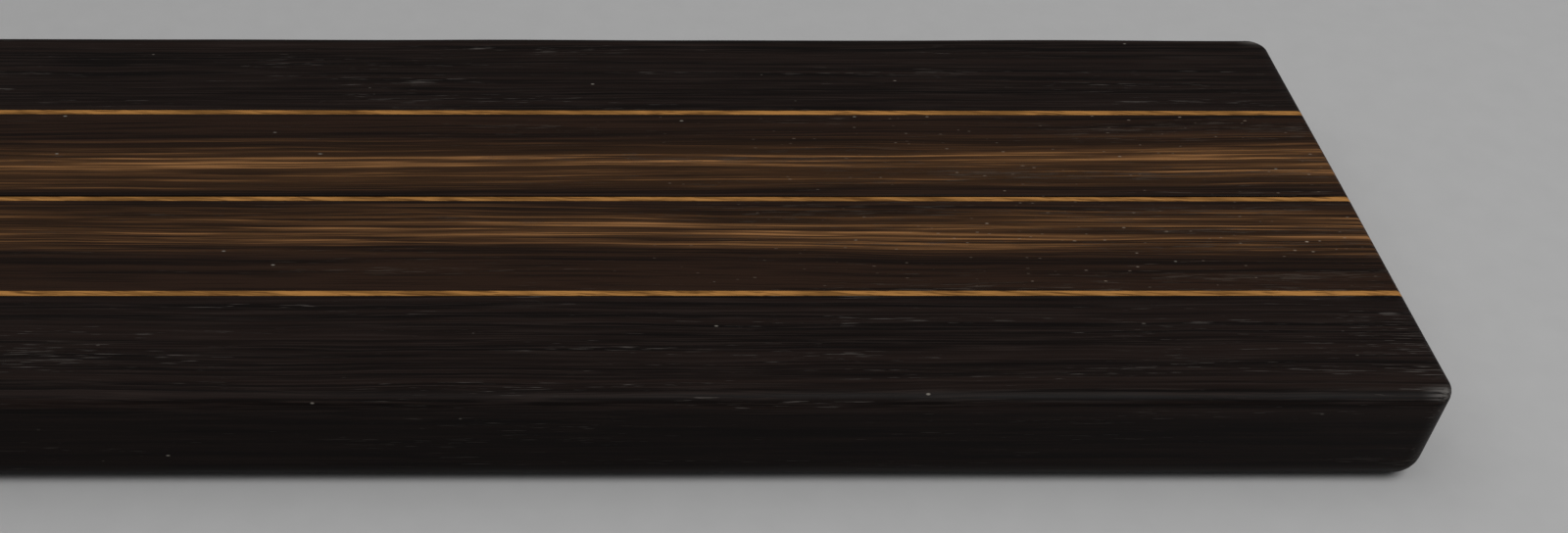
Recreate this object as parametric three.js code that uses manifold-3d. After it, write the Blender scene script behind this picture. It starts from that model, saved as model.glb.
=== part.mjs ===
// An 18 inch pair of parallel rulers: two laminated hardwood blades, side by side and closed, joined
// by two brass link arms that swing on shouldered pivot screws.
// Millimetres, +Z up. The origin is the centre of the closed pair, on the underside. X runs along the
// blades, and +Y points to the far blade.

import * as THREE from "three";
import { mergeVertices } from "three/addons/utils/BufferGeometryUtils.js";
import Module from "manifold-3d";

const wasm = await Module();
wasm.setup();

// ---- Driving dimensions ----

const LENGTH = 457.2;
const WIDTH = 48; // both blades, closed
const THICKNESS = 9;

// The lamination, from each outer edge inwards: outer strip, pale line, figured strip. The near blade
// also carries the centre line on its inner edge.
const FIGURED_WIDTH = 11.35;
const LINE_WIDTH = 0.6;
const GLUE_LINE = 0.02;
const SEAM = 0.15; // between the closed blades
const OUTER_WIDTH = (WIDTH - SEAM - 2 * FIGURED_WIDTH - 3 * LINE_WIDTH) / 2;

// The closed pair's eased edges.
const TOP_ROUND = 1.1;
const BOTTOM_ROUND = 2.2;
const CORNER_RADIUS = 1.9; // upright corner edges, in plan
const END_UNDERCUT = THREE.MathUtils.degToRad(4); // both ends lean in towards the underside
const ROUND_STEPS = 4;

// Where the hardware stands: the middle line of each outer strip.
const PIVOT_Y = WIDTH / 2 - OUTER_WIDTH / 2;
const LINK_LENGTH = 68; // pivot to pivot
const LINK_SPACING = 140; // between the two link arms, along the blades
const CLOSED_ANGLE = Math.asin((2 * PIVOT_Y) / LINK_LENGTH); // link to blade, closed
const LINK_RUN = LINK_LENGTH * Math.cos(CLOSED_ANGLE);

const CIRCLE_STEPS = 32;
const FIT_GAP = 0.1; // round parts that are fixed in one another
const THRUST_GAP = 0.12; // faces that slide over one another
const CUT_PAST = 1; // how far a cutter runs past what it cuts

// Link arm: two round eyes and a narrower bar.
const EYE_RADIUS = 4.8;
const BAR_HALF_WIDTH = 3.5;
const LINK_THICKNESS = 1.8;
const EYE_HOLE_RADIUS = 2.05;

// Pivot: flanged bush let into the top, screw down through it, round nut from below.
const FLANGE_RADIUS = 4.5;
const FLANGE_THICKNESS = 0.8;
const FLANGE_INLAY = 0.5;
const BARREL_RADIUS = 3;
const BUSH_BORE_RADIUS = 2;
const SHANK_RADIUS = 1.8;
const WASHER_RADIUS = 4.1;
const WASHER_THICKNESS = 0.4;
const HEAD_RADIUS = 3.7;
const HEAD_RIM = 1.2; // straight side of the head, below its dome
const HEAD_DOME = 0.7;
const SLOT_WIDTH = 0.9;
const SLOT_DEPTH = 0.9;
const NUT_RADIUS = 3.8;
const NUT_THICKNESS = 2;
const NUT_RECESS = 0.3; // from the underside up to the nut
const NUT_BORE_RADIUS = 1.95;
const SCREW_RECESS = 0.6; // from the underside up to the screw's end

const FLANGE_BOTTOM = THICKNESS - FLANGE_INLAY;
const FLANGE_TOP = FLANGE_BOTTOM + FLANGE_THICKNESS;
const LINK_BOTTOM = FLANGE_TOP + THRUST_GAP;
const WASHER_BOTTOM = LINK_BOTTOM + LINK_THICKNESS + THRUST_GAP;
const WASHER_TOP = WASHER_BOTTOM + WASHER_THICKNESS;
const HEAD_BOTTOM = WASHER_TOP + THRUST_GAP;
const NUT_TOP = NUT_RECESS + NUT_THICKNESS;
const NUT_SEAT = NUT_TOP + FIT_GAP; // ceiling of the recess that holds a nut

// Knob: a turned finger grip with a foot, a waist and a domed cap, on a stem.
const KNOB_HEIGHT = 9.5;
const KNOB_FOOT_RADIUS = 5;
const KNOB_FOOT_HEIGHT = 1.1;
const KNOB_WAIST_RADIUS = 2.2;
const KNOB_CAP_RADIUS = 4.8;
const KNOB_CAP_RIM = 6.6; // from the blade up to the cap's widest point
const STEM_RADIUS = 1.8;

// ---- Materials ----

const finish = (color, roughness, metalness) =>
  new THREE.MeshStandardMaterial({ color, roughness, metalness });
const darkWood = finish(0x1b1715, 0.45, 0);
const figuredWood = finish(0x3a2618, 0.45, 0);
const paleWood = finish(0xa8742c, 0.5, 0);
const brass = finish(0xb08d4a, 0.32, 1);

// ---- Shapes and booleans ----

// A closed three.js geometry as a manifold-3d solid.
function toSolid(geometry) {
  const bare = geometry.clone();
  bare.deleteAttribute("normal");
  bare.deleteAttribute("uv");
  const merged = mergeVertices(bare, 1e-4);
  return new wasm.Manifold(
    new wasm.Mesh({
      numProp: 3,
      vertProperties: merged.attributes.position.array,
      triVerts: new Uint32Array(merged.index.array),
    }),
  );
}

// A manifold-3d solid as a three.js geometry.
function toGeometry(solid) {
  const mesh = solid.getMesh();
  const geometry = new THREE.BufferGeometry();
  geometry.setAttribute("position", new THREE.BufferAttribute(mesh.vertProperties, 3));
  geometry.setIndex(new THREE.BufferAttribute(mesh.triVerts, 1));
  geometry.computeVertexNormals();
  return geometry;
}

// A solid of revolution about Z from [radius, z] pairs, listed upwards along its outside.
function turned(profile) {
  const points = profile.map(([radius, z]) => new THREE.Vector2(radius, z));
  return new THREE.LatheGeometry(points, CIRCLE_STEPS).rotateX(Math.PI / 2);
}

// A ring-shaped turned part: a profile that closes on itself.
const turnedRing = (profile) => turned([...profile, profile[0]]);

// Profile points of a dome, from its rim up to its crown on the axis.
function domePoints(radius, height, rimZ) {
  const points = [];
  for (let step = 0; step < ROUND_STEPS; step++) {
    const angle = (step / ROUND_STEPS) * (Math.PI / 2);
    points.push([radius * Math.cos(angle), rimZ + height * Math.sin(angle)]);
  }
  points.push([0, rimZ + height]);
  return points;
}

// A closed skin over a stack of rings that have the same number of points.
function loft(rings) {
  const count = rings[0].length;
  const index = [];
  for (let level = 0; level + 1 < rings.length; level++) {
    for (let i = 0; i < count; i++) {
      const here = level * count + i;
      const next = level * count + ((i + 1) % count);
      index.push(here, next, next + count, here, next + count, here + count);
    }
  }
  const top = (rings.length - 1) * count;
  for (let i = 1; i + 1 < count; i++) {
    index.push(0, i + 1, i);
    index.push(top, top + i, top + i + 1);
  }
  const geometry = new THREE.BufferGeometry().setFromPoints(rings.flat());
  geometry.setIndex(index);
  return geometry;
}

// A screwdriver slot cut across a turned part's end at height z.
function cutSlot(geometry, radius, z) {
  const slot = new THREE.BoxGeometry(2 * (radius + CUT_PAST), SLOT_WIDTH, 2 * SLOT_DEPTH);
  return toGeometry(toSolid(geometry).subtract(toSolid(slot.translate(0, 0, z))));
}

// ---- Blades ----

// Outline of the closed pair at height z, drawn in from its full size by inset.
function pairOutline(z, inset) {
  const lean = Math.max(THICKNESS - TOP_ROUND - z, 0) * Math.tan(END_UNDERCUT);
  const radius = Math.max(CORNER_RADIUS - inset, 0.1);
  const centreX = LENGTH / 2 - inset - lean - radius;
  const centreY = WIDTH / 2 - inset - radius;
  const points = [];
  for (const [quarter, signX, signY] of [[0, 1, 1], [1, -1, 1], [2, -1, -1], [3, 1, -1]]) {
    for (let step = 0; step <= ROUND_STEPS; step++) {
      const angle = (quarter + step / ROUND_STEPS) * (Math.PI / 2);
      const x = signX * centreX + radius * Math.cos(angle);
      const y = signY * centreY + radius * Math.sin(angle);
      points.push(new THREE.Vector3(x, y, z));
    }
  }
  return points;
}

// Both blades as one eased block, before it is parted into strips.
function pairBlank() {
  const rings = [];
  for (let step = 0; step <= ROUND_STEPS; step++) {
    const angle = (step / ROUND_STEPS) * (Math.PI / 2);
    const z = BOTTOM_ROUND * (1 - Math.cos(angle));
    rings.push(pairOutline(z, BOTTOM_ROUND * (1 - Math.sin(angle))));
  }
  for (let step = 0; step <= ROUND_STEPS; step++) {
    const angle = (step / ROUND_STEPS) * (Math.PI / 2);
    const z = THICKNESS - TOP_ROUND * (1 - Math.sin(angle));
    rings.push(pairOutline(z, TOP_ROUND * (1 - Math.cos(angle))));
  }
  return toSolid(loft(rings));
}

// Profile of a hole through a blade for a nut from below and a shank, without its upper end.
const lowerHole = (shankRadius) => [
  [0, -CUT_PAST],
  [NUT_RADIUS + FIT_GAP, -CUT_PAST],
  [NUT_RADIUS + FIT_GAP, NUT_SEAT],
  [shankRadius + FIT_GAP, NUT_SEAT],
];

// The stepped hole that a bush, its screw and its nut need.
const pivotHole = () =>
  turned([
    ...lowerHole(BARREL_RADIUS),
    [BARREL_RADIUS + FIT_GAP, FLANGE_BOTTOM - FIT_GAP],
    [FLANGE_RADIUS + FIT_GAP, FLANGE_BOTTOM - FIT_GAP],
    [FLANGE_RADIUS + FIT_GAP, THICKNESS + CUT_PAST],
    [0, THICKNESS + CUT_PAST],
  ]);

// The hole for a knob's stem and its nut.
const knobHole = () =>
  turned([
    ...lowerHole(STEM_RADIUS),
    [STEM_RADIUS + FIT_GAP, THICKNESS + CUT_PAST],
    [0, THICKNESS + CUT_PAST],
  ]);

// The blank between two Y planes, less the holes.
function strip(blank, holes, low, high) {
  const width = high - low - GLUE_LINE;
  const slab = new THREE.BoxGeometry(LENGTH + 2 * CUT_PAST, width, THICKNESS + 2 * CUT_PAST);
  slab.translate(0, (low + high) / 2, THICKNESS / 2);
  let solid = blank.intersect(toSolid(slab));
  for (const hole of holes) solid = solid.subtract(hole);
  return toGeometry(solid);
}

// ---- Brass ----

function linkArm() {
  const reach = LINK_LENGTH / 2;
  const neck = Math.PI - Math.asin(BAR_HALF_WIDTH / EYE_RADIUS);
  const outline = new THREE.Shape();
  outline.absarc(reach, 0, EYE_RADIUS, -neck, neck, false);
  outline.absarc(-reach, 0, EYE_RADIUS, Math.PI - neck, Math.PI + neck, false);
  for (const side of [-1, 1]) {
    const eye = new THREE.Path();
    eye.absarc(side * reach, 0, EYE_HOLE_RADIUS, 0, 2 * Math.PI, true);
    outline.holes.push(eye);
  }
  return new THREE.ExtrudeGeometry(outline, {
    depth: LINK_THICKNESS,
    bevelEnabled: false,
    curveSegments: CIRCLE_STEPS / 2,
  });
}

const pivotBush = () =>
  turnedRing([
    [BUSH_BORE_RADIUS, NUT_SEAT + FIT_GAP],
    [BARREL_RADIUS, NUT_SEAT + FIT_GAP],
    [BARREL_RADIUS, FLANGE_BOTTOM],
    [FLANGE_RADIUS, FLANGE_BOTTOM],
    [FLANGE_RADIUS, FLANGE_TOP],
    [BUSH_BORE_RADIUS, FLANGE_TOP],
  ]);

const pivotWasher = () =>
  turnedRing([
    [BUSH_BORE_RADIUS, WASHER_BOTTOM],
    [WASHER_RADIUS, WASHER_BOTTOM],
    [WASHER_RADIUS, WASHER_TOP],
    [BUSH_BORE_RADIUS, WASHER_TOP],
  ]);

// A shouldered screw: shank through washer, link, bush and nut, under a slotted, domed head.
function pivotScrew() {
  const rim = HEAD_BOTTOM + HEAD_RIM;
  const screw = turned([
    [0, SCREW_RECESS],
    [SHANK_RADIUS, SCREW_RECESS],
    [SHANK_RADIUS, HEAD_BOTTOM],
    [HEAD_RADIUS, HEAD_BOTTOM],
    ...domePoints(HEAD_RADIUS, HEAD_DOME, rim),
  ]);
  return cutSlot(screw, HEAD_RADIUS, rim + HEAD_DOME);
}

// A round nut with a slot across its lower face.
function roundNut() {
  const nut = turnedRing([
    [NUT_BORE_RADIUS, NUT_RECESS],
    [NUT_RADIUS, NUT_RECESS],
    [NUT_RADIUS, NUT_TOP],
    [NUT_BORE_RADIUS, NUT_TOP],
  ]);
  return cutSlot(nut, NUT_RADIUS, NUT_RECESS);
}

function fingerKnob() {
  const footBottom = THICKNESS + FIT_GAP;
  const footTop = THICKNESS + KNOB_FOOT_HEIGHT;
  const capRim = THICKNESS + KNOB_CAP_RIM;
  const waist = new THREE.CubicBezierCurve(
    new THREE.Vector2(KNOB_WAIST_RADIUS + 1.6, footTop),
    new THREE.Vector2(KNOB_WAIST_RADIUS - 0.6, footTop + 1),
    new THREE.Vector2(KNOB_WAIST_RADIUS, capRim - 1),
    new THREE.Vector2(KNOB_CAP_RADIUS, capRim),
  );
  const waistPoints = waist.getPoints(2 * ROUND_STEPS).slice(0, -1);
  return turned([
    [0, SCREW_RECESS],
    [STEM_RADIUS, SCREW_RECESS],
    [STEM_RADIUS, footBottom],
    [KNOB_FOOT_RADIUS, footBottom],
    [KNOB_FOOT_RADIUS, footTop],
    ...waistPoints.map((point) => [point.x, point.y]),
    ...domePoints(KNOB_CAP_RADIUS, KNOB_HEIGHT - KNOB_CAP_RIM, capRim),
  ]);
}

// ---- Assembly ----

const rulers = new THREE.Group();

function add(name, geometry, material, x = 0, y = 0) {
  const mesh = new THREE.Mesh(geometry, material);
  mesh.name = name;
  mesh.position.set(x, y, 0);
  rulers.add(mesh);
  return mesh;
}

// Each link arm leans towards +X from its near pivot to its far one.
const links = [
  { side: "left", x: -LINK_SPACING / 2 },
  { side: "right", x: LINK_SPACING / 2 },
];
const pivots = links.flatMap(({ side, x }) => [
  { name: `near_${side}_pivot`, x: x - LINK_RUN / 2, y: -PIVOT_Y },
  { name: `far_${side}_pivot`, x: x + LINK_RUN / 2, y: PIVOT_Y },
]);
const knobs = [
  { name: "near_knob", y: -PIVOT_Y },
  { name: "far_knob", y: PIVOT_Y },
];

// The Y planes that part the blank into strips, from the outer edge inwards.
const outside = WIDTH / 2 + CUT_PAST;
const outerInside = WIDTH / 2 - OUTER_WIDTH;
const figuredOutside = outerInside - LINE_WIDTH;
const figuredInside = figuredOutside - FIGURED_WIDTH;
const strips = [
  { name: "far_outer_strip", low: outerInside, high: outside, wood: darkWood },
  { name: "far_line_strip", low: figuredOutside, high: outerInside, wood: paleWood },
  { name: "far_figured_strip", low: figuredInside, high: figuredOutside, wood: figuredWood },
  { name: "centre_line_strip", low: -figuredInside, high: figuredInside - SEAM, wood: paleWood },
  { name: "near_figured_strip", low: -figuredOutside, high: -figuredInside, wood: figuredWood },
  { name: "near_line_strip", low: -outerInside, high: -figuredOutside, wood: paleWood },
  { name: "near_outer_strip", low: -outside, high: -outerInside, wood: darkWood },
];

const blank = pairBlank();
const holes = [
  ...pivots.map(({ x, y }) => pivotHole().translate(x, y, 0)),
  ...knobs.map(({ y }) => knobHole().translate(0, y, 0)),
].map(toSolid);
for (const { name, low, high, wood } of strips) add(name, strip(blank, holes, low, high), wood);

for (const { side, x } of links) {
  const arm = add(`${side}_link_arm`, linkArm(), brass, x);
  arm.position.z = LINK_BOTTOM;
  arm.rotation.z = CLOSED_ANGLE;
}

for (const { name, x, y } of pivots) {
  add(`${name}_bush`, pivotBush(), brass, x, y);
  add(`${name}_washer`, pivotWasher(), brass, x, y);
  add(`${name}_screw`, pivotScrew(), brass, x, y);
  add(`${name}_nut`, roundNut(), brass, x, y);
}

for (const { name, y } of knobs) {
  add(name, fingerKnob(), brass, 0, y);
  add(`${name}_nut`, roundNut(), brass, 0, y);
}

export default rulers;
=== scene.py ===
import math

import bpy
from mathutils import Matrix, Vector, noise


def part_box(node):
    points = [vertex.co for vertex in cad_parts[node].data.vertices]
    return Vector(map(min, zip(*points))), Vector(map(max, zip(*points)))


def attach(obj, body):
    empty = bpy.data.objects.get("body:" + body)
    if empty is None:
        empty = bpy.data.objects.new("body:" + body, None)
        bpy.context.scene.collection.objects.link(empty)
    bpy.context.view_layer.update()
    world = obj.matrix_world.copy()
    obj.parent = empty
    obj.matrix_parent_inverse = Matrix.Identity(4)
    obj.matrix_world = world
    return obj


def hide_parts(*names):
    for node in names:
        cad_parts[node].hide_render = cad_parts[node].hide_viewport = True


# A closed pair of parallel rulers around its CAD frame: laminated hardwood strips with hand-eased
# edges, and brass links, pivots and knobs. Lengths are in millimetres unless a comment says otherwise,
# and MM turns them into Blender's metres.

MM = 0.001

# The blades' eased edges: the CAD model's radii, but with crisper top edges on the ends.
TOP_ROUND = 1.1
END_TOP_ROUND = 0.55
BOTTOM_ROUND = 2.2
CORNER_RADIUS = 1.9
LEAST_CORNER_RADIUS = 0.05  # what the inset levels of an upright corner keep
CORNER_ZONE = 2 * BOTTOM_ROUND  # the stretch of a side that is left to its corner
END_UNDERCUT = math.radians(4)
GLUE_EASE = 0.03  # where two glued strips meet
SEAM_EASE = 0.12  # where the two blades meet
TOP_WANDER = 0.3  # share by which hand sanding varies the top rounding
BOTTOM_WANDER = 0.06
WANDER_LENGTH = 22
ROUND_STEPS = 7
CORNER_STEPS = 8
LONG_STEP = 3.0  # spacing of the points along a strip
END_STEP = 1.5  # and across its end
SHARP_ANGLE = math.radians(32)  # the least fold that is shaded as a crisp edge

# Brass: the finer sizes that the frame's boxes don't hold.
TURN_STEPS = 96
ARC_STEPS = 24
DOME_SHARE = 0.98  # of a quarter turn, so that a dome ends in a tiny flat
CHAMFER = 0.15
FIT_GAP = 0.1
BORE_OVERRUN = 1.0  # how far a hole's cutter stands out of the top
BUSH_BORE_RADIUS = 2.0
BUSH_BARREL_RADIUS = 3.0
FLANGE_INLAY = 0.5
SHANK_RADIUS = 1.8
HEAD_RIM = 1.2
HEAD_DOME = 0.7
NUT_BORE_RADIUS = 1.95
SLOT_WIDTH = 0.9
SLOT_DEPTH = 0.9
SCREW_SLOT_TURN = math.radians(137.5)  # for each millimetre of X and Y, so the slots point all ways
NUT_SLOT_TURN = math.radians(50)  # and a radian more for each millimetre of X
EYE_RADIUS = 4.8
EYE_HOLE_RADIUS = 2.05
BAR_HALF_WIDTH = 3.5
BAR_FILLET = 3.0
LINK_CHAMFER = 0.3
KNOB_FOOT_HEIGHT = 1.1
KNOB_WAIST_RADIUS = 2.2
KNOB_WAIST_FLARE = 1.6  # how much wider the waist is where it meets the foot
KNOB_WAIST_HOLLOW = 0.6  # how much narrower its curve's lower handle is
KNOB_LOW_HANDLE = 1.0  # the lower handle's height above the foot
KNOB_HIGH_HANDLE = 1.2  # and the upper one's depth below the cap's rim
KNOB_FOOT_RING = 0.3  # the narrow flat around the waist's flare
KNOB_CAP_INSET = 0.2
KNOB_CAP_RIM = 6.6
KNOB_CAP_EASE = 0.1
KNOB_GROOVE_RISE = 0.2  # above the cap's rim
KNOB_DOME_RISE = 0.5
GROOVE_DEPTH = 0.16
GROOVE_HALF_WIDTH = 0.14

# The materials' finer sizes.
WOOD_SHINE = 0.07  # the shader's specular level: the wood is hardly glossy
GRAIN_WAVER = 1.1  # how far the grain's lines waver across the strips, from side to side
LEAF_SHIFT = 1.1  # how far into the log the two book-matched leaves lie from their middle
STREAK_DRIFT = 0.9  # how far the streaks swing across their strip, to either side
STREAK_DRIFT_START = 150.0  # where along the blade this swing is at its middle
STREAK_DRIFT_LENGTH = 90.0  # and the length that takes it through one radian
VENEER_SLANT = 0.1  # how far the veneer's grain runs across for each millimetre along
DUST_SPACING = 1.9
DUST_RADIUS = 0.11
GLINT_SPACING = 0.55
GLINT_RADIUS = 0.1
WOOD_RELIEF = 0.025
VENEER_RELIEF = 0.012
BRASS_RELIEF = 0.006
FLOOR_RELIEF = 0.002
FLOOR_ROUGHNESS = 0.6

# The materials' colours, linear.
EBONY = (0.0056, 0.0040, 0.0036)
EBONY_BROWN = (0.0170, 0.0104, 0.0085)
EBONY_RIB = (0.0270, 0.0184, 0.0156)
# Painted highlight: the grey that the pores catch.
EBONY_PORE_HIGHLIGHT = (0.0700, 0.0610, 0.0550)
# Partly rubbed wear, partly a painted highlight along the top edges.
RUBBED_EDGE_HIGHLIGHT = (0.0220, 0.0190, 0.0175)
# Painted highlight on the top corners.
CORNER_HIGHLIGHT = (0.17, 0.16, 0.15)
END_GRAIN = (0.0055, 0.0036, 0.0030)
DUST = (0.23, 0.21, 0.18)
FIGURED_DARK = (0.0100, 0.0060, 0.0046)
FIGURED_BROWN = (0.0290, 0.0150, 0.0095)
FIGURED_LIGHT = (0.1050, 0.0490, 0.0195)
FIGURED_STREAK = (0.3700, 0.1760, 0.0650)
FIGURED_GAP = (0.0100, 0.0062, 0.0048)
# Painted highlight: the grey that the pores catch.
FIGURED_PORE_HIGHLIGHT = (0.0750, 0.0580, 0.0460)
GLINT = (0.4500, 0.3600, 0.2800)
VENEER_DEEP = (0.25, 0.117, 0.031)
VENEER_LIGHT = (0.50, 0.236, 0.066)
VENEER_LINE = (0.13, 0.056, 0.015)
BRASS_DEEP = (0.80, 0.57, 0.25)
BRASS_BRIGHT = (0.90, 0.70, 0.36)
TARNISH = (0.46, 0.29, 0.12)
FLOOR_DARK = (0.53, 0.53, 0.53)
FLOOR_LIGHT = (0.57, 0.57, 0.57)

# The floor and the lamps, in metres.
FLOOR_REACH = 3
KEY_PLACE = (0.44, -0.24, 0.62)
KEY_TARGET = (0.2, -0.05, 0)
KEY_SIZE = 0.4
KEY_POWER = 2.4  # watts
FILL_PLACE = (-0.45, 0.12, 0.9)
FILL_STRENGTH = 0.6
FILL_SPREAD = math.radians(60)
WORLD_STRENGTH = 0.13

# The camera, and the place it looks from: measured from the middle of the right-hand end's top edge.
CAMERA_FROM_END = Vector((-78.0, -137.6, 107.6))
CAMERA_PITCH = math.radians(39.87)
CAMERA_YAW = math.radians(0.87)
CAMERA_ROLL = math.radians(0.56)
CAMERA_LENS = 48.8
CAMERA_SHIFT = 0.225
CAMERA_NEAREST = 0.01  # metres
CAMERA_FARTHEST = 20

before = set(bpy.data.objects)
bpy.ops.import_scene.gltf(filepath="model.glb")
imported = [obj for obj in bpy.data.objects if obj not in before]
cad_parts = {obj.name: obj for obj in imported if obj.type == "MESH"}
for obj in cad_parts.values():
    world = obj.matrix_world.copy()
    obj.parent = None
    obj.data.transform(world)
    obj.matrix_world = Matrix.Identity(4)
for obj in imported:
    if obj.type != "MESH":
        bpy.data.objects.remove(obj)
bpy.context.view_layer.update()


# ---- Places from the frame ----

def node_box(node):
    """A CAD node's lowest and highest corners in millimetres."""
    low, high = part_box(node)
    return low / MM, high / MM


def node_centre(node):
    """The middle of a CAD node's box."""
    low, high = node_box(node)
    return (low + high) / 2


def node_radius(node):
    """A round CAD node's radius, from how wide its box is."""
    low, high = node_box(node)
    return (high.y - low.y) / 2


BLADE_LOW, BLADE_HIGH = node_box("near_outer_strip")
HALF_LENGTH = BLADE_HIGH.x
THICKNESS = BLADE_HIGH.z
HALF_WIDTH = -BLADE_LOW.y
PIVOTS = {
    f"{blade}_{side}_pivot": node_centre(f"{blade}_{side}_pivot_screw")
    for blade in ("near", "far")
    for side in ("left", "right")
}
KNOBS = {f"{blade}_knob": node_centre(f"{blade}_knob") for blade in ("near", "far")}
NUT_TOP = node_box("near_knob_nut")[1].z
LINK_SPAN = (PIVOTS["far_right_pivot"] - PIVOTS["near_right_pivot"]).xy
LINK_TURN = math.atan2(LINK_SPAN.y, LINK_SPAN.x)


# ---- Mesh tools ----

def new_object(name, data, place=Matrix.Identity(4)):
    """An object in the scene, from a mesh, a lamp or a camera."""
    piece = bpy.data.objects.new(name, data)
    piece.matrix_world = place
    bpy.context.scene.collection.objects.link(piece)
    return piece


def place_at(x, y, turn=0.0):
    """A place on the rulers' plan, turned about Z."""
    return Matrix.Translation(Vector((x, y, 0)) * MM) @ Matrix.Rotation(turn, 4, "Z")


def mesh_from_rings(name, rings, capped=True):
    """A skin over rings of points, listed upwards, each anticlockwise seen from above."""
    count = len(rings[0])
    joins = len(rings) - 1 if capped else len(rings)
    faces = []
    for level in range(joins):
        here = level * count
        above = (level + 1) % len(rings) * count
        for i in range(count):
            j = (i + 1) % count
            faces.append((here + i, here + j, above + j, above + i))
    if capped:
        faces.append(tuple(reversed(range(count))))
        faces.append(tuple(range(joins * count, len(rings) * count)))
    mesh = bpy.data.meshes.new(name)
    mesh.from_pydata([Vector(point) * MM for ring in rings for point in ring], [], faces)
    return mesh


def turned_mesh(name, profile, ring=False):
    """A part turned about Z from (radius, z) pairs listed upwards along its outside. A ring's profile
    closes on itself. Any other is capped with a flat disc at both ends."""
    angles = [2 * math.pi * step / TURN_STEPS for step in range(TURN_STEPS)]
    rings = []
    for radius, z in profile:
        rings.append([(radius * math.cos(angle), radius * math.sin(angle), z) for angle in angles])
    return mesh_from_rings(name, rings, capped=not ring)


def box_mesh(name, size, centre):
    """A plain box."""
    half = Vector(size) / 2
    rings = []
    for side_z in (-1, 1):
        corners = [(-half.x, -half.y), (half.x, -half.y), (half.x, half.y), (-half.x, half.y)]
        rings.append([Vector(centre) + Vector((x, y, side_z * half.z)) for x, y in corners])
    return mesh_from_rings(name, rings)


def cut(piece, cutter_mesh, place):
    """Takes the cutter's shape out of the piece."""
    cutter = new_object("cutter", cutter_mesh, place)
    boolean = piece.modifiers.new("cut", "BOOLEAN")
    boolean.operation = "DIFFERENCE"
    boolean.solver = "EXACT"
    boolean.object = cutter
    bpy.context.view_layer.update()
    evaluated = piece.evaluated_get(bpy.context.evaluated_depsgraph_get())
    cut_mesh = bpy.data.meshes.new_from_object(evaluated)
    piece.modifiers.clear()
    piece.data = cut_mesh
    bpy.data.objects.remove(cutter)


def smooth_flats(piece):
    """Smooth shading with crisp edges, where wide flat faces stay flat."""
    piece.data.shade_smooth()
    piece.data.set_sharp_from_angle(angle=SHARP_ANGLE)
    weighted = piece.modifiers.new("flat faces stay flat", "WEIGHTED_NORMAL")
    weighted.keep_sharp = True
    weighted.weight = 100


def hand_in(piece, surface, body, node):
    """Gives a piece its surface and its body, and hides the CAD node that it stands for."""
    piece.data.materials.clear()
    piece.data.materials.append(surface)
    smooth_flats(piece)
    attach(piece, body)
    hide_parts(node)


# ---- Blades ----

def hand_ease(x, y, wander):
    """How much wider or narrower than its mean the sanded edge is at this place."""
    return 1 + wander * noise.noise(Vector((x, y, 0)) / WANDER_LENGTH)


def edge_levels():
    """A side's points from the underside to the top: pairs of (end, share), where end is -1 for the
    bottom edge and 1 for the top edge, and share runs from the side's face to the flat."""
    shares = [step / ROUND_STEPS for step in range(ROUND_STEPS + 1)]
    return [(-1, share) for share in reversed(shares)] + [(1, share) for share in shares]


def eased(level, bottom_round, top_round):
    """Inset and height of a level on a side whose edges have these radii."""
    end, share = level
    angle = share * math.pi / 2
    if end < 0:
        return bottom_round * (1 - math.cos(angle)), bottom_round * (1 - math.sin(angle))
    return top_round * (1 - math.cos(angle)), THICKNESS - top_round * (1 - math.sin(angle))


def hand_eased(level, x, y, top_round):
    """Inset and height of a level on a hand-sanded outer side, at this place along it."""
    bottom_round = BOTTOM_ROUND * hand_ease(x, y, BOTTOM_WANDER)
    return eased(level, bottom_round, top_round * hand_ease(x, y, TOP_WANDER))


def lean(z):
    """How far an end leans in at this height."""
    return max(THICKNESS - TOP_ROUND - z, 0) * math.tan(END_UNDERCUT)


def spaced(start, end, step):
    """Evenly spaced values from start to end, both included."""
    count = max(round(abs(end - start) / step), 1)
    return [start + (end - start) * i / count for i in range(count + 1)]


def long_side(level, y, side, kind):
    """One level of a long side, from right to left for side 1 and back for side -1."""
    reach = side * (HALF_LENGTH - CORNER_ZONE)
    points = []
    for x in spaced(reach, -reach, LONG_STEP):
        if kind == "outer":
            inset, z = hand_eased(level, x, y, TOP_ROUND)
        else:
            ease = SEAM_EASE if kind == "seam" else GLUE_EASE
            inset, z = eased(level, ease, ease)
        points.append((x, y - side * inset, z))
    return points


def end_point(level, side, y):
    """A point of one level of an end, side 1 for the right-hand one."""
    inset, z = hand_eased(level, side * HALF_LENGTH, y, END_TOP_ROUND)
    return (side * (HALF_LENGTH - inset - lean(z)), y, z)


def upright_corner(level, side_x, side_y):
    """One level of a rounded upright corner, anticlockwise. Its edges' rounding runs over from an
    end's to a long side's."""
    first_quarter = {(1, 1): 0, (-1, 1): 1, (-1, -1): 2, (1, -1): 3}[side_x, side_y]
    points = []
    for step in range(CORNER_STEPS + 1):
        share = step / CORNER_STEPS
        toward_side = share if side_x == side_y else 1 - share
        top_round = END_TOP_ROUND + toward_side * (TOP_ROUND - END_TOP_ROUND)
        inset, z = hand_eased(level, side_x * HALF_LENGTH, side_y * HALF_WIDTH, top_round)
        radius = max(CORNER_RADIUS - inset, LEAST_CORNER_RADIUS)
        centre_x = side_x * (HALF_LENGTH - inset - lean(z) - radius)
        centre_y = side_y * (HALF_WIDTH - inset - radius)
        angle = (first_quarter + share) * math.pi / 2
        points.append((centre_x + radius * math.cos(angle), centre_y + radius * math.sin(angle), z))
    return points


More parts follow.
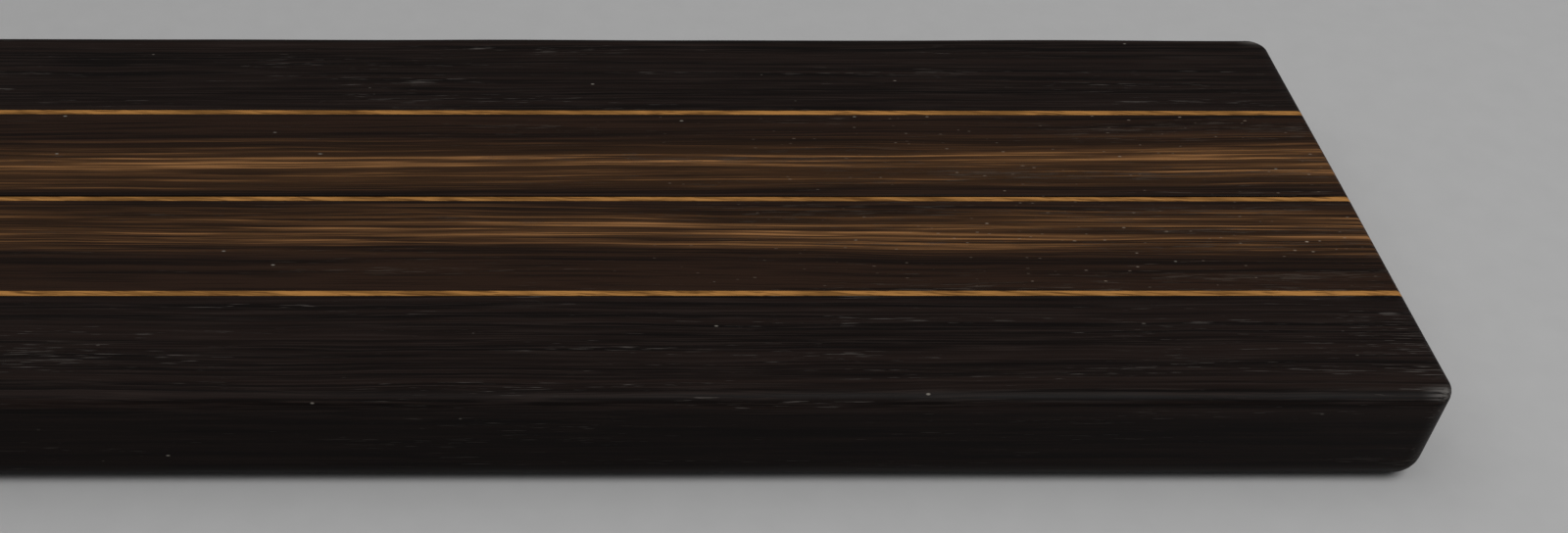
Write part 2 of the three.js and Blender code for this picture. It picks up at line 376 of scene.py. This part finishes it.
def strip_ring(level, low, high, low_kind, high_kind):
    """One level of a strip between two Y planes, anticlockwise from the right-hand end's low side."""
    low_end = low + CORNER_ZONE if low_kind == "outer" else low
    high_end = high - CORNER_ZONE if high_kind == "outer" else high
    end_ys = spaced(low_end, high_end, END_STEP)
    ring = [end_point(level, 1, y) for y in end_ys]
    if high_kind == "outer":
        ring += upright_corner(level, 1, 1)
    ring += long_side(level, high, 1, high_kind)
    if high_kind == "outer":
        ring += upright_corner(level, -1, 1)
    ring += [end_point(level, -1, y) for y in reversed(end_ys)]
    if low_kind == "outer":
        ring += upright_corner(level, -1, -1)
    ring += long_side(level, low, -1, low_kind)
    if low_kind == "outer":
        ring += upright_corner(level, 1, -1)
    return ring


def make_strip(node, low_kind, high_kind):
    """A strip of a blade. Each long side's kind is outer, glue or seam."""
    low, high = node_box(node)
    rings = [strip_ring(level, low.y, high.y, low_kind, high_kind) for level in edge_levels()]
    return new_object(node + "_wood", mesh_from_rings(node, rings))


def hole_profile(shank_radius):
    """A hole from below: an eased mouth, the nut's recess and a shank's bore, up past the top."""
    nut_radius = node_radius("near_knob_nut") + FIT_GAP
    return [
        (nut_radius + 2 * CHAMFER, -CHAMFER),
        (nut_radius, CHAMFER),
        (nut_radius, NUT_TOP + FIT_GAP),
        (shank_radius + FIT_GAP, NUT_TOP + FIT_GAP),
        (shank_radius + FIT_GAP, THICKNESS + BORE_OVERRUN),
    ]


def flange_recess():
    """The shallow recess that takes a bush's flange."""
    radius = node_radius("near_left_pivot_bush") + FIT_GAP
    return [
        (radius, THICKNESS - FLANGE_INLAY - FIT_GAP),
        (radius, THICKNESS - CHAMFER),
        (radius + 2 * CHAMFER, THICKNESS + CHAMFER),
    ]


def drill_blade(piece, blade):
    """The holes of one outer strip."""
    for name, place in PIVOTS.items():
        if name.startswith(blade):
            cut(piece, turned_mesh("hole", hole_profile(BUSH_BARREL_RADIUS)), place_at(place.x, place.y))
            cut(piece, turned_mesh("recess", flange_recess()), place_at(place.x, place.y))
    place = KNOBS[blade + "_knob"]
    cut(piece, turned_mesh("hole", hole_profile(SHANK_RADIUS)), place_at(place.x, place.y))


# ---- Brass ----

def arc(centre, radius, start, end, steps):
    """Points of an arc in the XY plane, both ends included, angles in radians."""
    points = []
    for step in range(steps + 1):
        angle = start + (end - start) * step / steps
        points.append((centre[0] + radius * math.cos(angle), centre[1] + radius * math.sin(angle)))
    return points


def link_outline(reach, inset):
    """A link arm in plan, drawn in by inset: two round eyes on a bar, with filleted necks."""
    apart = EYE_RADIUS + BAR_FILLET
    rise = BAR_HALF_WIDTH + BAR_FILLET
    neck_x = reach - math.sqrt(apart**2 - rise**2)
    turn = math.atan2(rise, neck_x - reach)
    eye = arc((reach, 0), EYE_RADIUS - inset, -turn, turn, ARC_STEPS * 2)
    upper = arc((neck_x, rise), BAR_FILLET + inset, turn - math.pi, -math.pi / 2, ARC_STEPS // 3)
    lower = [(x, -y) for x, y in reversed(upper)]
    right_half = lower + eye[1:-1] + upper
    left_half = [(-x, -y) for x, y in right_half]
    return right_half + left_half


def make_link(side):
    """A link arm with its two eyes bored through."""
    near = PIVOTS[f"near_{side}_pivot"]
    far = PIVOTS[f"far_{side}_pivot"]
    node = side + "_link_arm"
    bottom, top = (corner.z for corner in node_box(node))
    reach = LINK_SPAN.length / 2
    middle = (near + far) / 2
    levels = [
        (LINK_CHAMFER, bottom),
        (0, bottom + LINK_CHAMFER),
        (0, top - LINK_CHAMFER),
        (LINK_CHAMFER, top),
    ]
    rings = [[(x, y, z) for x, y in link_outline(reach, inset)] for inset, z in levels]
    mesh = mesh_from_rings(node, rings)
    mesh.transform(Matrix.Rotation(LINK_TURN, 4, "Z"))
    piece = new_object(node + "_brass", mesh, place_at(middle.x, middle.y))
    eye_profile = [
        (EYE_HOLE_RADIUS + 2 * CHAMFER, bottom - CHAMFER),
        (EYE_HOLE_RADIUS, bottom + CHAMFER),
        (EYE_HOLE_RADIUS, top - CHAMFER),
        (EYE_HOLE_RADIUS + 2 * CHAMFER, top + CHAMFER),
    ]
    for place in (near, far):
        cut(piece, turned_mesh("eye", eye_profile), place_at(place.x, place.y))
    return piece


def make_bush(node, place):
    """A flanged bush, let into the blade's top."""
    low, high = node_box(node)
    radius = node_radius(node)
    flange_bottom = THICKNESS - FLANGE_INLAY
    profile = [
        (BUSH_BORE_RADIUS, low.z),
        (BUSH_BARREL_RADIUS, low.z),
        (BUSH_BARREL_RADIUS, flange_bottom),
        (radius, flange_bottom),
        (radius, high.z - CHAMFER),
        (radius - CHAMFER, high.z),
        (BUSH_BORE_RADIUS + CHAMFER, high.z),
        (BUSH_BORE_RADIUS, high.z - CHAMFER),
    ]
    return new_object(node + "_brass", turned_mesh(node, profile, ring=True), place_at(place.x, place.y))


def make_washer(node, place):
    """A thin washer over a link arm's eye."""
    low, high = node_box(node)
    radius = node_radius(node)
    ease = CHAMFER / 2
    profile = [
        (BUSH_BORE_RADIUS, low.z),
        (radius - ease, low.z),
        (radius, low.z + ease),
        (radius, high.z - ease),
        (radius - ease, high.z),
        (BUSH_BORE_RADIUS, high.z),
    ]
    return new_object(node + "_brass", turned_mesh(node, profile, ring=True), place_at(place.x, place.y))


def dome_points(radius, height, rim_z, steps):
    """A dome's profile from its rim nearly to its crown."""
    points = []
    for step in range(steps + 1):
        angle = DOME_SHARE * math.pi / 2 * step / steps
        points.append((radius * math.cos(angle), rim_z + height * math.sin(angle)))
    return points


def cut_slot(piece, radius, z, place, turn):
    """A driver's slot right across a round face at this height."""
    slot = box_mesh("slot", (3 * radius, SLOT_WIDTH, 2 * SLOT_DEPTH), (0, 0, z))
    cut(piece, slot, place_at(place.x, place.y, turn))


def make_screw(node, place):
    """A shouldered screw with a domed, slotted head."""
    low, high = node_box(node)
    radius = node_radius(node)
    rim = high.z - HEAD_DOME
    head_bottom = rim - HEAD_RIM
    profile = [
        (SHANK_RADIUS - CHAMFER, low.z),
        (SHANK_RADIUS, low.z + CHAMFER),
        (SHANK_RADIUS, head_bottom),
        (radius - CHAMFER, head_bottom),
        (radius, head_bottom + CHAMFER),
        (radius, rim - CHAMFER),
        (radius - CHAMFER, rim + CHAMFER / 3),
        *dome_points(radius - 2 * CHAMFER, HEAD_DOME - CHAMFER, rim + CHAMFER, ARC_STEPS // 2),
    ]
    turn = SCREW_SLOT_TURN * (place.x + place.y)
    piece = new_object(node + "_brass", turned_mesh(node, profile), place_at(place.x, place.y, turn))
    cut_slot(piece, radius, high.z, place, turn)
    return piece


def make_nut(node, place):
    """A round nut, slotted from below."""
    low, high = node_box(node)
    radius = node_radius(node)
    profile = [
        (NUT_BORE_RADIUS, low.z + CHAMFER),
        (NUT_BORE_RADIUS + CHAMFER, low.z),
        (radius - CHAMFER, low.z),
        (radius, low.z + CHAMFER),
        (radius, high.z),
        (NUT_BORE_RADIUS, high.z),
    ]
    turn = NUT_SLOT_TURN + place.x
    mesh = turned_mesh(node, profile, ring=True)
    piece = new_object(node + "_brass", mesh, place_at(place.x, place.y, turn))
    cut_slot(piece, radius, low.z, place, turn)
    return piece


def groove(radius, z):
    """A fine turned groove on an upright face, as profile points."""
    return [
        (radius, z - GROOVE_HALF_WIDTH),
        (radius - GROOVE_DEPTH, z - GROOVE_HALF_WIDTH / 3),
        (radius - GROOVE_DEPTH, z + GROOVE_HALF_WIDTH / 3),
        (radius, z + GROOVE_HALF_WIDTH),
    ]


def bezier(points, steps):
    """Points of a cubic curve in the plane, both ends included, from its ends and two handles."""
    start, first, second, end = (Vector(point) for point in points)
    curve = []
    for step in range(steps + 1):
        t = step / steps
        u = 1 - t
        point = u**3 * start + 3 * u**2 * t * first + 3 * u * t**2 * second + t**3 * end
        curve.append((point.x, point.y))
    return curve


def make_knob(node, place):
    """A turned finger knob: a foot, a hollowed waist and a domed cap with a groove."""
    low, high = node_box(node)
    foot_radius = node_radius(node)
    foot_bottom = THICKNESS + FIT_GAP
    foot_top = THICKNESS + KNOB_FOOT_HEIGHT
    cap_radius = foot_radius - KNOB_CAP_INSET
    cap_rim = THICKNESS + KNOB_CAP_RIM
    flare_radius = KNOB_WAIST_RADIUS + KNOB_WAIST_FLARE
    dome_bottom = cap_rim + KNOB_DOME_RISE
    waist = bezier(
        [
            (flare_radius, foot_top + CHAMFER),
            (KNOB_WAIST_RADIUS - KNOB_WAIST_HOLLOW, foot_top + KNOB_LOW_HANDLE),
            (KNOB_WAIST_RADIUS, cap_rim - KNOB_HIGH_HANDLE),
            (cap_radius - CHAMFER, cap_rim - 2 * CHAMFER),
        ],
        ARC_STEPS,
    )
    profile = [
        (SHANK_RADIUS - CHAMFER, low.z),
        (SHANK_RADIUS, low.z + CHAMFER),
        (SHANK_RADIUS, foot_bottom),
        (foot_radius - CHAMFER, foot_bottom),
        (foot_radius, foot_bottom + CHAMFER),
        (foot_radius, foot_top - 2 * CHAMFER),
        (foot_radius - 2 * CHAMFER, foot_top),
        (flare_radius + KNOB_FOOT_RING, foot_top),
        *waist,
        (cap_radius, cap_rim - KNOB_CAP_EASE),
        *groove(cap_radius, cap_rim + KNOB_GROOVE_RISE),
        *dome_points(cap_radius, high.z - dome_bottom, dome_bottom, ARC_STEPS),
    ]
    return new_object(node + "_brass", turned_mesh(node, profile), place_at(place.x, place.y))


# ---- Surfaces ----

class Shading:
    """A material's node graph, written as calls. Vectors inside it are in millimetres."""

    def __init__(self, name):
        self.material = bpy.data.materials.new(name)
        self.material.use_nodes = True
        self.nodes = self.material.node_tree.nodes
        self.links = self.material.node_tree.links
        self.nodes.clear()

    def feed(self, socket, value):
        """Links a socket to another node's output, or sets it to a constant."""
        if isinstance(value, bpy.types.NodeSocket):
            self.links.new(value, socket)
        else:
            socket.default_value = value

    def add(self, kind, inputs, **settings):
        """A node with these settings and inputs, where an input is a constant or another's output."""
        node = self.nodes.new("ShaderNode" + kind)
        for name, value in settings.items():
            setattr(node, name, value)
        for key, value in inputs.items():
            self.feed(node.inputs[key], value)
        return node

    def place(self, turn=0.0):
        """Where a point of the piece is, in millimetres, in axes turned about Z."""
        where = self.add("TexCoord", {}).outputs["Object"]
        turned = self.add("VectorRotate", {"Vector": where, "Angle": -turn}, rotation_type="Z_AXIS")
        return self.add("VectorMath", {0: turned.outputs[0], "Scale": 1 / MM}, operation="SCALE").outputs[0]

    def split(self, vector):
        return self.add("SeparateXYZ", {0: vector}).outputs

    def join(self, x, y, z=0.0):
        return self.add("CombineXYZ", {0: x, 1: y, 2: z}).outputs[0]

    def maths(self, operation, first, second=0.0):
        return self.add("Math", {0: first, 1: second}, operation=operation).outputs[0]

    def plus(self, first, second):
        return self.maths("ADD", first, second)

    def minus(self, first, second):
        return self.maths("SUBTRACT", first, second)

    def times(self, first, second):
        return self.maths("MULTIPLY", first, second)

    def magnitude(self, value):
        return self.maths("ABSOLUTE", value)

    def weighted(self, *terms):
        """The sum of values, from (value, weight) pairs."""
        first, *others = (self.times(value, weight) for value, weight in terms)
        for other in others:
            first = self.plus(first, other)
        return first

    def scaled(self, place, lengths):
        """A vector of coordinates, each in its own length."""
        return self.join(*(self.maths("DIVIDE", value, length) for value, length in zip(place, lengths)))

    def grain(self, place, lengths, detail=3.0, roughness=0.55):
        """Noise from 0 to 1, whose lumps have these lengths in millimetres along the coordinates."""
        inputs = {
            "Vector": self.scaled(place, lengths),
            "Scale": 1.0,
            "Detail": detail,
            "Roughness": roughness,
        }
        return self.add("TexNoise", inputs).outputs["Fac"]

    def step(self, value, low, high, to_low=0.0, to_high=1.0):
        """A smooth step of value from to_low at low to to_high at high."""
        inputs = {
            "Value": value,
            "From Min": low,
            "From Max": high,
            "To Min": to_low,
            "To Max": to_high,
        }
        return self.add("MapRange", inputs, interpolation_type="SMOOTHSTEP").outputs[0]

    def towards(self, value, limit, start, full, most=1.0):
        """A smooth rise to most, while a coordinate's size goes from start to full short of a limit."""
        return self.step(self.magnitude(value), limit - start, limit - full, to_high=most)

    def coats(self, colour, *coats):
        """A colour with others laid over it in turn, each a (share, colour) pair."""
        for share, coat in coats:
            inputs = {0: share, 6: as_colour(colour), 7: as_colour(coat)}
            colour = self.add("Mix", inputs, data_type="RGBA").outputs[2]
        return colour

    def bump(self, height, depth):
        """A bumped normal, where a height of 1 stands for this depth in millimetres."""
        inputs = {"Strength": 1.0, "Distance": depth * MM, "Height": height}
        return self.add("Bump", inputs).outputs["Normal"]

    def surface(self, colour, roughness, normal, **fixed):
        """Ends the graph in a shader, whose fixed inputs are named with _ for each space."""
        inputs = {"Base Color": as_colour(colour), "Roughness": roughness, "Normal": normal}
        for name, value in fixed.items():
            inputs[name.replace("_", " ")] = value
        shader = self.add("BsdfPrincipled", inputs)
        self.add("OutputMaterial", {"Surface": shader.outputs[0]})
        return self.material


def as_colour(colour):
    """A colour for a socket: a constant gets its alpha, and another node's output stays as it is."""
    return (*colour, 1.0) if isinstance(colour, tuple) else colour


def wood_place(shading):
    """A strip's coordinates, whose lines waver a little as real grain does."""
    x, y, z = shading.split(shading.place())
    wave = shading.grain((x, y, z), (30.0, 5.0, 5.0), detail=2.0)
    return x, shading.plus(y, shading.times(shading.minus(wave, 0.5), GRAIN_WAVER)), z


def wood_fibres(shading, place):
    """Fine lines along the grain, from 0 to 1."""
    return shading.grain(place, (12.0, 0.2, 0.2), roughness=0.65)


def wood_pores(shading, place, glint_share):
    """Open pores: short dashes along the grain, in patches, and more of them where the last argument rises,
    for painted highlights.
    1 in a pore."""
    fine = shading.grain(place, (3.0, 0.11, 0.11), detail=2.0)
    patches = shading.grain(place, (24.0, 1.4, 1.4), detail=1.0)
    return shading.step(shading.weighted((fine, 1.0), (patches, 0.6), (glint_share, 0.12)), 1.0, 1.07)


def specks(shading, place, spacing, radius, first_chosen):
    """Fine specks, about twice as long as they are wide, in some of the cells of a loose grid."""
    cells = shading.scaled(place, (2 * spacing, spacing, spacing))
    grid = shading.add("TexVoronoi", {"Vector": cells, "Scale": 1.0})
    reach = radius / spacing
    inside = shading.step(grid.outputs["Distance"], 0.35 * reach, reach, to_low=1.0, to_high=0.0)
    lot = shading.split(grid.outputs["Color"])[0]
    return shading.times(inside, shading.step(lot, first_chosen, first_chosen + 0.5))


def finished_wood(shading, place, colour, fibres, pores):
    """A wood's material: its colour, darker where it is cut across the grain and with a few specks of
    dust, on raised fibres and sunk pores."""
    normal = shading.add("TexCoord", {}).outputs["Normal"]
    facing_end = shading.magnitude(shading.split(normal)[0])
    colour = shading.coats(
        colour,
        (shading.step(facing_end, 0.4, 0.95, to_high=0.6), END_GRAIN),
        (specks(shading, place, DUST_SPACING, DUST_RADIUS, 0.35), DUST),
    )
    roughness = shading.step(fibres, 0.25, 0.75, to_low=0.38, to_high=0.58)
    height = shading.minus(shading.times(fibres, 0.4), shading.times(pores, 0.8))
    relief = shading.bump(height, WOOD_RELIEF)
    return shading.surface(colour, roughness, relief, Specular_IOR_Level=WOOD_SHINE)


def rubbed_and_highlit_edges(shading, place):
    """1 along the pair's outer top edges, which are painted lighter, partly as rubbed wear and partly as a
    painted highlight: all along the ends, and in patches along the sides, which hands rub most near the
    ends."""
    x, y, z = place
    patches = shading.step(shading.grain(place, (14.0, 9.0, 9.0), detail=2.0), 0.4, 0.6)
    handled = shading.times(patches, shading.towards(x, HALF_LENGTH, 100.0, 15.0))
    at_side = shading.times(shading.towards(y, HALF_WIDTH, 1.2, 0.3), handled)
    at_end = shading.towards(x, HALF_LENGTH, 1.2, 0.3)
    at_top = shading.towards(z, THICKNESS, 0.9, 0.2)
    return shading.times(shading.maths("MAXIMUM", at_side, at_end), at_top)


def highlit_corners(shading, place):
    """1 at the pair's top corners, where a grey highlight is painted on."""
    x, y, z = place
    at_side = shading.towards(y, HALF_WIDTH, 1.7, 0.6)
    at_end = shading.towards(x, HALF_LENGTH, 3.0, 0.3)
    at_top = shading.towards(z, THICKNESS, 0.65, 0.2)
    return shading.times(shading.times(at_side, at_end), at_top)


def glinting_ends(shading, place):
    """How many more pores the outer strips show near their ends, for a painted grey highlight: the near
    blade's more than the rest, the far one's less.
    """
    x, y = place[:2]
    across = shading.step(y, -HALF_WIDTH, HALF_WIDTH, to_low=1.0, to_high=-0.5)
    return shading.times(shading.towards(x, HALF_LENGTH, 14.0, 0.0), across)


def dark_wood():
    """Near-black ebony: faint brown layers; grey painted highlights in the pores, on the edges (also rubbed
    wear) and on the corners; sides painted darker as shade.
    """
    shading = Shading("dark_wood")
    place = wood_place(shading)
    fibres = wood_fibres(shading, place)
    # More pores towards the ends, for their painted grey highlight.
    pores = wood_pores(shading, place, glinting_ends(shading, place))
    layers = shading.grain(place, (80.0, 0.6, 0.6))
    # Painted shade: the sides get less of the brown, the ribs and the pores' grey, so they are painted
    # darker than the top.
    top_painted_lighter = shading.step(place[2], THICKNESS - 2.6, THICKNESS - 0.5, to_low=0.4)
    brown = shading.step(layers, 0.35, 0.7)
    ribs = shading.step(fibres, 0.46, 0.68, to_high=0.75)
    # The fibres that take the edges' wear and painted highlight.
    rubbed = shading.step(fibres, 0.4, 0.7)
    # The fibres that take the corners' painted highlight.
    corner_highlight_fibres = shading.step(fibres, 0.3, 0.6)
    colour = shading.coats(
        EBONY,
        (shading.times(brown, top_painted_lighter), EBONY_BROWN),
        (shading.times(ribs, top_painted_lighter), EBONY_RIB),
        # Painted highlight: grey where the pores catch the light.
        (shading.times(pores, top_painted_lighter), EBONY_PORE_HIGHLIGHT),
        # Rubbed wear and a painted highlight along the top edges.
        (shading.times(rubbed_and_highlit_edges(shading, place), rubbed), RUBBED_EDGE_HIGHLIGHT),
        # Painted highlight on the top corners.
        (shading.times(highlit_corners(shading, place), corner_highlight_fibres), CORNER_HIGHLIGHT),
    )
    return finished_wood(shading, place, colour, fibres, pores)


def leaf_place(shading, place):
    """Coordinates in one leaf of the log that both figured strips were cut from: along it, across it
    from the seam, with a slow drift, and through it."""
    x, y, z = place
    swing = shading.maths("DIVIDE", shading.minus(x, STREAK_DRIFT_START), STREAK_DRIFT_LENGTH)
    drift = shading.times(shading.maths("SINE", swing), STREAK_DRIFT)
    from_seam = shading.minus(shading.magnitude(y), drift)
    depth = shading.minus(z, shading.times(shading.maths("SIGN", y), LEAF_SHIFT))
    return x, from_seam, depth


def leaf_figure(shading, leaf, beyond_seam):
    """The leaf's figure: broad bands, veins and threads, a little fainter beyond the seam."""
    bands = shading.grain(leaf, (110.0, 1.3, 8.0), detail=1.0)
    veins = shading.grain(leaf, (45.0, 0.5, 3.0), detail=2.0)
    threads = shading.grain(leaf, (14.0, 0.2, 0.9))
    return shading.weighted((bands, 0.65), (veins, 0.85), (threads, 0.9), (beyond_seam, -0.045))


def streak_zone(shading, from_seam, beyond_seam):
    """1 where the light streaks lie, which is a little wider beyond the seam."""
    outer_limit = shading.plus(shading.times(beyond_seam, 0.9), 6.0)
    rising = shading.step(from_seam, 0.4, 2.4)
    past = shading.minus(from_seam, outer_limit)
    return shading.times(rising, shading.step(past, -1.8, 1.8, to_low=1.0, to_high=0.0))


def figured_wood():
    """Dark hardwood with golden-brown streaks, laid book-matched about the seam."""
    shading = Shading("figured_wood")
    place = wood_place(shading)
    x, y = place[:2]
    beyond_seam = shading.step(y, -1.0, 1.0)
    leaf = leaf_place(shading, place)
    figure = leaf_figure(shading, leaf, beyond_seam)
    zone = streak_zone(shading, leaf[1], beyond_seam)
    brown = shading.step(figure, 0.96, 1.32)
    least_light = shading.plus(shading.times(beyond_seam, 0.16), 0.2)
    light = shading.times(zone, shading.maths("MAXIMUM", least_light, brown))
    streaks = shading.times(zone, shading.step(figure, 1.22, 1.46))

    fibres = wood_fibres(shading, place)
    # Painted highlights: more grey pores and glints towards the ends.
    glint_share = shading.towards(x, HALF_LENGTH, 75.0, 5.0, most=0.7)
    pores = wood_pores(shading, place, glint_share)
    glints = specks(shading, place, GLINT_SPACING, GLINT_RADIUS, 0.3)
    on_fibres = shading.times(shading.step(fibres, 0.45, 0.6), glint_share)
    colour = shading.coats(
        FIGURED_DARK,
        (brown, FIGURED_BROWN),
        (light, FIGURED_LIGHT),
        (streaks, FIGURED_STREAK),
        (shading.step(fibres, 0.34, 0.5, to_low=0.6, to_high=0.0), FIGURED_GAP),
        # Painted highlight: grey where the pores catch the light.
        (shading.times(pores, 0.5), FIGURED_PORE_HIGHLIGHT),
        (shading.times(glints, on_fibres), GLINT),
    )
    return finished_wood(shading, place, colour, fibres, pores)


def pale_wood():
    """Golden veneer whose fine grain runs out at a slant."""
    shading = Shading("pale_wood")
    x, y, z = shading.split(shading.place())
    across = shading.plus(shading.times(x, VENEER_SLANT), y)
    lines = shading.grain((x, across, z), (2.4, 0.16, 0.4))
    patches = shading.grain((x, across, z), (6.0, 0.6, 2.0), detail=2.0)
    colour = shading.coats(
        VENEER_DEEP,
        (shading.step(patches, 0.34, 0.62), VENEER_LIGHT),
        (shading.step(lines, 0.48, 0.66, to_high=0.8), VENEER_LINE),
    )
    roughness = shading.step(lines, 0.3, 0.7, to_low=0.4, to_high=0.55)
    relief = shading.bump(lines, VENEER_RELIEF)
    return shading.surface(colour, roughness, relief, Specular_IOR_Level=WOOD_SHINE)


def finished_brass(shading, marks, place):
    """Lightly aged brass: tool marks, and clouds of tarnish that dull it."""
    clouds = shading.grain(place, (2.6, 2.6, 2.6), detail=4.0)
    colour = shading.coats(
        BRASS_DEEP,
        (shading.step(marks, 0.3, 0.7), BRASS_BRIGHT),
        (shading.step(clouds, 0.48, 0.75, to_high=0.6), TARNISH),
    )
    dulled = shading.step(clouds, 0.4, 0.75, to_low=0.2, to_high=0.4)
    roughness = shading.plus(dulled, shading.times(marks, 0.12))
    return shading.surface(colour, roughness, shading.bump(marks, BRASS_RELIEF), Metallic=1.0)


def turned_brass():
    """Brass with the lathe's fine circles about the piece's own Z axis."""
    shading = Shading("turned_brass")
    x, y, z = shading.split(shading.place())
    squares = shading.plus(shading.times(x, x), shading.times(y, y))
    marks = shading.grain((shading.maths("SQRT", squares), z), (0.06, 0.06))
    return finished_brass(shading, marks, (x, y, z))


def brushed_brass():
    """Brass rubbed lengthwise along the link arms."""
    shading = Shading("brushed_brass")
    place = shading.split(shading.place(LINK_TURN))
    marks = shading.grain(place, (9.0, 0.06, 0.06))
    return finished_brass(shading, marks, place)


def floor_surface():
    """Pale grey paper with a faint speckle."""
    shading = Shading("floor_grey")
    speckle = shading.grain(shading.split(shading.place()), (3.0, 3.0, 3.0), detail=2.0)
    colour = shading.coats(FLOOR_DARK, (speckle, FLOOR_LIGHT))
    relief = shading.bump(speckle, FLOOR_RELIEF)
    return shading.surface(colour, FLOOR_ROUGHNESS, relief)


# ---- Build ----

DARK_WOOD = dark_wood()
FIGURED_WOOD = figured_wood()
PALE_WOOD = pale_wood()
TURNED_BRASS = turned_brass()
BRUSHED_BRASS = brushed_brass()

STRIPS = {
    "far_outer_strip": ("far_blade", "glue", "outer", DARK_WOOD, "dark_wood"),
    "far_line_strip": ("far_blade", "glue", "glue", PALE_WOOD, "pale_wood"),
    "far_figured_strip": ("far_blade", "seam", "glue", FIGURED_WOOD, "figured_wood"),
    "centre_line_strip": ("near_blade", "glue", "seam", PALE_WOOD, "pale_wood"),
    "near_figured_strip": ("near_blade", "glue", "glue", FIGURED_WOOD, "figured_wood"),
    "near_line_strip": ("near_blade", "glue", "glue", PALE_WOOD, "pale_wood"),
    "near_outer_strip": ("near_blade", "outer", "glue", DARK_WOOD, "dark_wood"),
}


def blade_of(name):
    """Which blade a strip, pivot or knob belongs to, near or far: the first word of its name."""
    return name.split("_")[0]


def build_blades():
    """The seven strips of the two blades, the outer ones drilled."""
    for node, (body, low_kind, high_kind, wood, slot) in STRIPS.items():
        strip = make_strip(node, low_kind, high_kind)
        if "outer" in node:
            drill_blade(strip, blade_of(node))
        hand_in(strip, wood, body, node)


def build_brass():
    """The link arms, and what holds them and the knobs in the blades."""
    for side in ("left", "right"):
        hand_in(make_link(side), BRUSHED_BRASS, side + "_link", side + "_link_arm")
    makers = {"bush": make_bush, "washer": make_washer, "screw": make_screw, "nut": make_nut}
    for name, place in PIVOTS.items():
        body = blade_of(name) + "_blade"
        for kind, make in makers.items():
            node = f"{name}_{kind}"
            hand_in(make(node, place), TURNED_BRASS, body, node)
    for name, place in KNOBS.items():
        body = blade_of(name) + "_blade"
        hand_in(make_knob(name, place), TURNED_BRASS, body, name)
        hand_in(make_nut(name + "_nut", place), TURNED_BRASS, body, name + "_nut")


build_blades()
build_brass()


# ---- Stage, light and camera ----

def make_floor():
    """A plain square floor, far wider than the rulers."""
    reach = FLOOR_REACH
    corners = [(-reach, -reach, 0), (reach, -reach, 0), (reach, reach, 0), (-reach, reach, 0)]
    mesh = bpy.data.meshes.new("floor")
    mesh.from_pydata(corners, [], [(0, 1, 2, 3)])
    mesh.materials.append(floor_surface())
    new_object("floor", mesh)


def lamp(name, kind, place, target, energy, **settings):
    """A lamp at a place, aimed at a target, both in metres."""
    light = bpy.data.lights.new(name, kind)
    light.energy = energy
    for setting, value in settings.items():
        setattr(light, setting, value)
    aim = Vector(target) - Vector(place)
    turn = aim.to_track_quat("-Z", "Y").to_matrix().to_4x4()
    lamp_object = new_object(name, light, Matrix.Translation(Vector(place)) @ turn)
    lamp_object.visible_camera = False


def light_stage():
    """Soft studio light: a broad key lamp near the right-hand end, a wide fill and a dim world."""
    lamp("key", "AREA", KEY_PLACE, KEY_TARGET, KEY_POWER, size=KEY_SIZE)
    lamp("fill", "SUN", FILL_PLACE, (0, 0, 0), FILL_STRENGTH, angle=FILL_SPREAD)
    world = bpy.data.worlds.new("world")
    bpy.context.scene.world = world
    world.use_nodes = True
    background = world.node_tree.nodes["Background"]
    background.inputs["Color"].default_value = (1, 1, 1, 1)
    background.inputs["Strength"].default_value = WORLD_STRENGTH
    bpy.context.scene.view_settings.view_transform = "Standard"


def make_camera():
    """The camera, from its yaw off +Y, its pitch down from level and its roll."""
    forward = Vector((
        math.sin(CAMERA_YAW) * math.cos(CAMERA_PITCH),
        math.cos(CAMERA_YAW) * math.cos(CAMERA_PITCH),
        -math.sin(CAMERA_PITCH),
    ))
    level_right = Vector((math.cos(CAMERA_YAW), -math.sin(CAMERA_YAW), 0))
    level_up = level_right.cross(forward)
    right = math.cos(CAMERA_ROLL) * level_right + math.sin(CAMERA_ROLL) * level_up
    up = -math.sin(CAMERA_ROLL) * level_right + math.cos(CAMERA_ROLL) * level_up
    lens = bpy.data.cameras.new("camera")
    lens.lens = CAMERA_LENS
    lens.shift_x = CAMERA_SHIFT
    lens.clip_start = CAMERA_NEAREST
    lens.clip_end = CAMERA_FARTHEST
    eye = (Vector((HALF_LENGTH, 0, THICKNESS)) + CAMERA_FROM_END) * MM
    turn = Matrix((right, up, -forward)).transposed().to_4x4()
    camera = new_object("camera", lens, Matrix.Translation(eye) @ turn)
    bpy.context.scene.camera = camera


make_floor()
light_stage()
make_camera()
